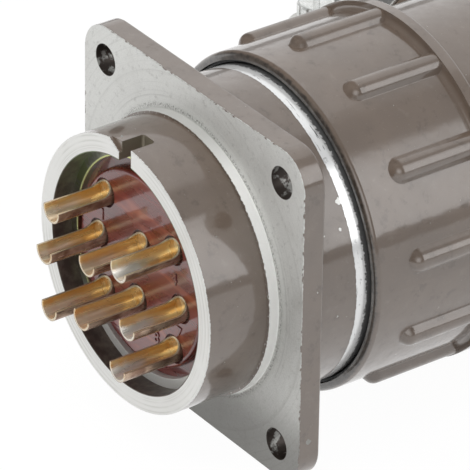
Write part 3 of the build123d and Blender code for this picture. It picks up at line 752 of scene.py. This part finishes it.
def satin_nickel():
    """The cable clamp's satin nickel over a casting."""
    surface = Surface("satin_nickel", metallic=0.9)
    grain = surface.grain(scale=3.5, detail=4.0, roughness=0.7)
    color = surface.varied(surface.grain(scale=0.3, detail=4.0, roughness=0.6), nickel_grey, nickel_pale)
    color = surface.tint(color, nickel_dirt, surface.above(grain, 0.66, soft=0.04), 0.5)
    return surface.finish(color, surface.roughened(grain, 0.28, 0.42), height=grain)


def dress(material, *names):
    for name in names:
        slots = nodes[name].data.materials
        slots.clear()
        slots.append(material)


block_material = phenolic()
dress(receptacle_finish(), "receptacle_shell")
# The nut, with a painted shade inside its lip
dress(enamel("nut_enamel", nut_wear), "coupling_nut")
dress(enamel("backshell_enamel", thread_end=outlet_thread_start), "elbow_backshell")
dress(satin_nickel(), "clamp_body", "clamp_saddle")
dress(block_material, "rear_insulator", "front_insulator")
dress(block_material, "socket_front_insulator", "socket_rear_insulator")
dress(plug_plating(), "plug_shell")
dress(rubber("seal_rubber", seal_dark, seal_pale), "pin_face_seal", "shell_gasket")
dress(rubber("wiper_rubber", wiper_dark, wiper_pale, worn_or_shaded=0.8), "nut_wiper")
dress(rubber("bushing_rubber", bushing_dark, bushing_pale), "cable_bushing")
dress(snap_ring_finish(), "block_snap_ring", "plug_snap_ring", "nut_keeper_ring")
dress(spring_steel(), "wave_washer", "spring_washer_1", "spring_washer_2")
dress(zinc_plate(), "clamp_screw_1", "clamp_screw_2")
for kind in ("pin_contact", "socket_contact"):
    for number in range(1, len(number_places) + 1):
        name = f"{kind}_{number}"
        low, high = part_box(name)
        centre = (low + high) / 2 / MM
        silver_and_highlight = silver_and_highlight_share if number in silver_and_highlight_cups else highlight_share
        dress(contact_finish(f"{name}_gold", centre.x, centre.z, silver_and_highlight), name)

# Raised contact numbers, moulded on the block's face
for number, (x, z) in enumerate(number_places, start=1):
    text = bpy.data.curves.new(f"number_{number}", "FONT")
    text.body = str(number)
    text.size = number_height * MM
    text.extrude = number_relief * MM
    text.bevel_depth = number_bevel * MM
    text.align_x = "CENTER"
    text.align_y = "CENTER"
    text.materials.append(block_material)
    piece = bpy.data.objects.new(f"number_{number}", text)
    piece.location = Vector((x, plateau_face, z)) * MM
    piece.rotation_euler = (math.radians(90), 0, 0)
    scene.collection.objects.link(piece)
    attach(piece, "receptacle")


def floor_material():
    """White to the camera and to gloss, and a plain matt floor that takes the object's shadow."""
    material = bpy.data.materials.new("white_floor")
    material.use_nodes = True
    floor_nodes = Nodes(material.node_tree)
    tree = material.node_tree
    shader = tree.nodes["Principled BSDF"]
    shader.inputs["Base Color"].default_value = floor_white
    shader.inputs["Roughness"].default_value = floor_roughness
    glow = tree.nodes.new("ShaderNodeEmission")
    glow.inputs["Strength"].default_value = floor_glow
    path = tree.nodes.new("ShaderNodeLightPath").outputs
    seen = floor_nodes.either(path["Is Camera Ray"], path["Is Transmission Ray"])
    share = floor_nodes.either(floor_nodes.times(seen, floor_camera_share),
                               floor_nodes.times(path["Is Glossy Ray"], floor_gloss_share))
    mixer = tree.nodes.new("ShaderNodeMixShader")
    for value, socket in zip((share, shader.outputs[0], glow.outputs[0]), mixer.inputs):
        floor_nodes.put(value, socket)
    floor_nodes.put(mixer.outputs[0], tree.nodes["Material Output"].inputs["Surface"])
    return material


floor_level = min(cad_box[0][2], cad_box[1][2]) - floor_gap
floor_angles = [math.tau * index / floor_corners for index in range(floor_corners)]
floor_rim = [(floor_radius * math.cos(angle), floor_radius * math.sin(angle), floor_level)
             for angle in floor_angles]
floor_mesh = bpy.data.meshes.new("floor")
floor_mesh.from_pydata(floor_rim, [], [tuple(range(floor_corners))])
floor_mesh.materials.append(floor_material())
floor = bpy.data.objects.new("floor", floor_mesh)
scene.collection.objects.link(floor)


def studio_world():
    """White behind the part, and a plain level for matt surfaces. Gloss shows a white room with a darker
    gap overhead, a darker front, a soft lamp on the camera's side and a dark line at the horizon."""
    world = bpy.data.worlds.new("studio")
    world.use_nodes = True
    room = Nodes(world.node_tree)
    direction = room.tree.nodes.new("ShaderNodeTexCoord").outputs["Generated"]
    path = room.tree.nodes.new("ShaderNodeLightPath").outputs
    x, y, z = room.split(direction)
    uneven = room.add(room.noise(direction, scale=2.6, detail=5.0, roughness=0.62), -0.5)
    ragged = room.add(room.noise(direction, scale=5.0, detail=6.0, roughness=0.7), -0.5)
    gap_start = room.above(room.add(x, room.times(uneven, 0.12)), gap_left, soft=0.07)
    gap_end = room.above(room.add(x, room.times(ragged, 0.36)), gap_right, soft=0.05)
    front = room.below(room.add(y, room.times(uneven, 0.15)), front_edge, soft=0.08)
    to_lamp = [room.add(axis, -place) for axis, place in zip((x, y, z), lamp_direction)]
    near_lamp = room.below(room.length(room.join(*to_lamp)), lamp_reach, soft=0.28)
    horizon = room.below(room.add(z, room.times(ragged, 0.1)), horizon_edge, soft=0.015)
    shown = room.blend(gap_end, room.blend(gap_start, left_level, gap_level), right_level)
    for mask, level in ((front, front_level), (near_lamp, lamp_level), (horizon, horizon_level)):
        shown = room.blend(mask, shown, level)
    level = room.blend(path["Is Glossy Ray"], room_level, shown)
    seen = room.either(path["Is Camera Ray"], path["Is Transmission Ray"])
    background = room.tree.nodes["Background"]
    background.inputs["Color"].default_value = (1, 1, 1, 1)
    room.put(room.blend(seen, level, 1.0), background.inputs["Strength"])
    return world


def outward(azimuth, elevation):
    """The direction at these angles, in degrees. Azimuth 0 is the wired rear (-Y), 90 is +X."""
    azimuth, elevation = math.radians(azimuth), math.radians(elevation)
    flat = math.cos(elevation)
    return Vector((math.sin(azimuth) * flat, -math.cos(azimuth) * flat, math.sin(elevation)))


def softbox(name, azimuth, elevation, distance, size, power):
    """An area light that faces the connector and that gloss doesn't show."""
    out = outward(azimuth, elevation)
    light = bpy.data.lights.new(name, "AREA")
    light.shape = "RECTANGLE"
    light.size, light.size_y = size
    light.energy = power
    lamp = bpy.data.objects.new(name, light)
    lamp.location = out * distance
    lamp.rotation_euler = out.to_track_quat("Z", "Y").to_euler()
    lamp.visible_glossy = False
    scene.collection.objects.link(lamp)


def place_camera():
    back = outward(camera_azimuth, camera_elevation)
    right = Vector((0, 0, 1)).cross(back).normalized()
    turn = Matrix.Rotation(math.radians(camera_roll), 3, -back)
    axes = Matrix((turn @ right, turn @ back.cross(right), back)).transposed()
    camera_data = bpy.data.cameras.new("camera")
    camera_data.sensor_width = camera_sensor
    camera_data.lens = camera_lens
    camera_data.clip_start = camera_near
    camera_data.clip_end = camera_far
    camera = bpy.data.objects.new("camera", camera_data)
    camera.matrix_world = Matrix.Translation(camera_aim + back * camera_distance) @ axes.to_4x4()
    scene.collection.objects.link(camera)
    scene.camera = camera


scene.world = studio_world()
softbox("top_softbox", azimuth=20, elevation=75, distance=0.8, size=(0.7, 0.5), power=2.6)
softbox("left_softbox", azimuth=-30, elevation=35, distance=0.9, size=(0.5, 0.7), power=2.0)
place_camera()

scene.view_settings.view_transform = "Standard"
